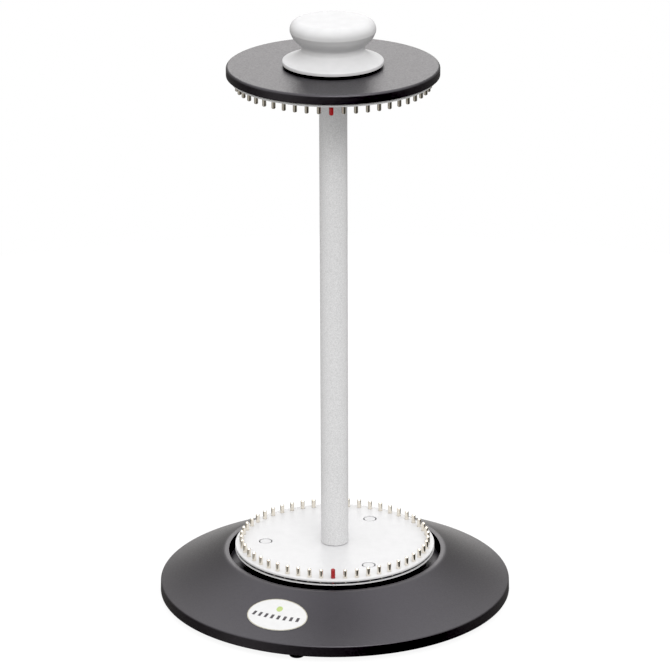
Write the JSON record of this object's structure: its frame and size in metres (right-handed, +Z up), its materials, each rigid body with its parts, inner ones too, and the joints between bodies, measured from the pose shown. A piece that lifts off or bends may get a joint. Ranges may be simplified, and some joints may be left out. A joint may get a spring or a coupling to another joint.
{
  "type": "rotary table file",
  "caption": "Free-standing rotary table file: weighted round foot, ball-bearing turntable, column and crown with facing rings of pins that hinged cards or panels hang between, and a grip knob.",
  "frame": {"origin": "on the table, under the turning axis", "axes": "+Z up along the turning axis; -Y is the front, where both red index pins stand; +X to the right"},
  "size_m": [0.2312, 0.2312, 0.3919],
  "materials": {
    "black_plastic": "moulded, fine matt grain",
    "white_paint": "satin white powder coat",
    "white_plastic": "satin moulded",
    "grey_paint": "satin light grey, fine speckle",
    "pin_chrome": "polished nickel",
    "red_plastic": "glossy dark red",
    "bright_steel": "turned",
    "zinc": "zinc plated",
    "iron": "black primer",
    "brass": "turned",
    "rubber": "matt",
    "label_film": "satin film"
  },
  "bodies": {
    "stand": {"base_cover": "black_plastic", "base_label": "label_film", "base_plate": "bright_steel", "ballast_ring": "iron", "foot_1": "rubber", "foot_2": "rubber", "foot_3": "rubber", "foot_4": "rubber", "foot_screw_1": "zinc", "foot_screw_2": "zinc", "foot_screw_3": "zinc", "foot_screw_4": "zinc", "spindle": "bright_steel", "spindle_nut": "zinc", "retaining_washer": "zinc", "retaining_screw": "zinc", "bearing_lower_race": "bright_steel"},
    "bearing_cage": {"bearing_ball_cage": "bright_steel"},
    "carousel": {"crown_cover": "black_plastic", "knob_washer": "black_plastic", "turntable_top_plate": "white_paint", "turntable_bottom_plate": "white_paint", "crown_pin_plate": "white_paint", "crown_backing_plate": "white_paint", "knob": "white_plastic", "screw_cap_1": "white_plastic", "screw_cap_2": "white_plastic", "screw_cap_3": "white_plastic", "column_tube": "grey_paint", "turntable_pin_ring": "pin_chrome", "crown_pin_ring": "pin_chrome", "turntable_index_pin": "red_plastic", "crown_index_pin": "red_plastic", "bearing_upper_race": "bright_steel", "turntable_hub": "bright_steel", "column_plug": "bright_steel", "plate_spacer": "zinc", "crown_spacer": "zinc", "plate_screw_1": "zinc", "plate_screw_2": "zinc", "plate_screw_3": "zinc", "crown_screw_1": "zinc", "crown_screw_2": "zinc", "crown_screw_3": "zinc", "knob_stud": "zinc", "knob_insert": "brass"}
  },
  "joints": [
    {"name": "carousel_spin", "type": "hinge", "parent": "stand", "child": "carousel", "pos_m": [0, 0, 0.0271], "axis": [0, 0, 1], "continuous": true},
    {"name": "cage_spin", "type": "hinge", "parent": "stand", "child": "bearing_cage", "pos_m": [0, 0, 0.0271], "axis": [0, 0, 1], "continuous": true}
  ],
  "couplings": [
    {"joint": "cage_spin", "follows": "carousel_spin", "ratio": 0.5}
  ]
}
